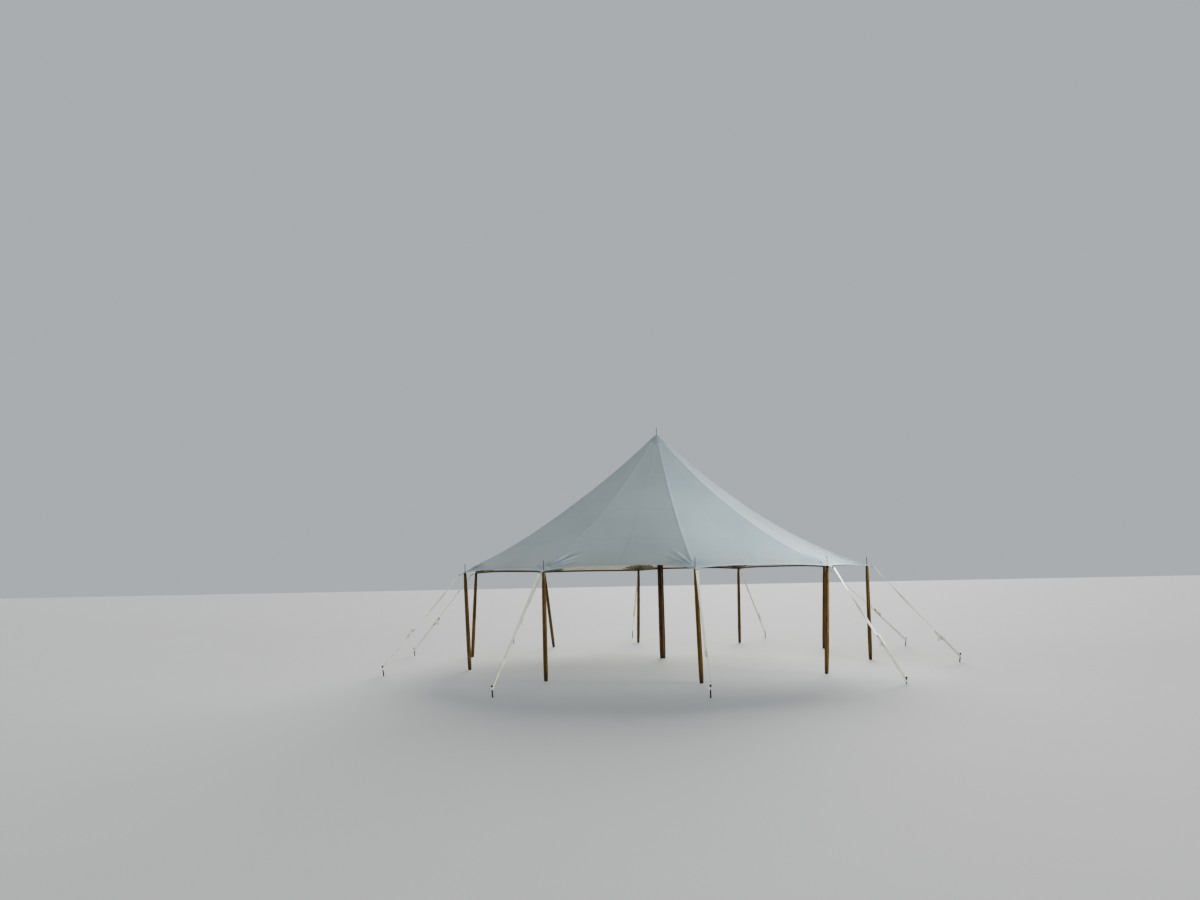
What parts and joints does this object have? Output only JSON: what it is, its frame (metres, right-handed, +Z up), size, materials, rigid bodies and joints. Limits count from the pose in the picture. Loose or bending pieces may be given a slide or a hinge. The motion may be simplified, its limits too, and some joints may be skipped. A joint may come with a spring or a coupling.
{
  "type": "single-pole round sailcloth tent",
  "caption": "Round pole tent: an off-white sailcloth canopy rises in concave gores to a centre pole and is held by wooden side poles and webbing guys to steel stakes.",
  "frame": {"origin": "the middle of the centre pole's foot, on the ground", "axes": "+Z up along the centre pole; -Y towards side pole 01, at the front; +X to the right seen from the front"},
  "size_m": [13.3163, 13.5731, 5.76],
  "materials": {
    "canvas": "off-white woven sailcloth, matt, a little see-through to light",
    "pole_wood": "stained and oiled, orange brown",
    "centre_wood": "dark stained and oiled",
    "pin_steel": "blackened steel",
    "webbing": "off-white polyester webbing",
    "stake_steel": "black steel, worn at the head"
  },
  "bodies": {
    "root": {"canopy": "canvas", "centre_pole": "centre_wood", "peak_pin": "pin_steel", "side_pole_01": "pole_wood", "side_pin_01": "pin_steel", "guy_strap_01": "webbing", "stake_01": "stake_steel", "side_pole_02": "pole_wood", "side_pin_02": "pin_steel", "guy_strap_02": "webbing", "stake_02": "stake_steel", "side_pole_03": "pole_wood", "side_pin_03": "pin_steel", "guy_strap_03": "webbing", "stake_03": "stake_steel", "side_pole_04": "pole_wood", "side_pin_04": "pin_steel", "guy_strap_04": "webbing", "stake_04": "stake_steel", "side_pole_05": "pole_wood", "side_pin_05": "pin_steel", "guy_strap_05": "webbing", "stake_05": "stake_steel", "side_pole_06": "pole_wood", "side_pin_06": "pin_steel", "guy_strap_06": "webbing", "stake_06": "stake_steel", "side_pole_07": "pole_wood", "side_pin_07": "pin_steel", "guy_strap_07": "webbing", "stake_07": "stake_steel", "side_pole_08": "pole_wood", "side_pin_08": "pin_steel", "guy_strap_08": "webbing", "stake_08": "stake_steel", "side_pole_09": "pole_wood", "side_pin_09": "pin_steel", "guy_strap_09": "webbing", "stake_09": "stake_steel", "side_pole_10": "pole_wood", "side_pin_10": "pin_steel", "guy_strap_10": "webbing", "stake_10": "stake_steel"}
  },
  "joints": []
}
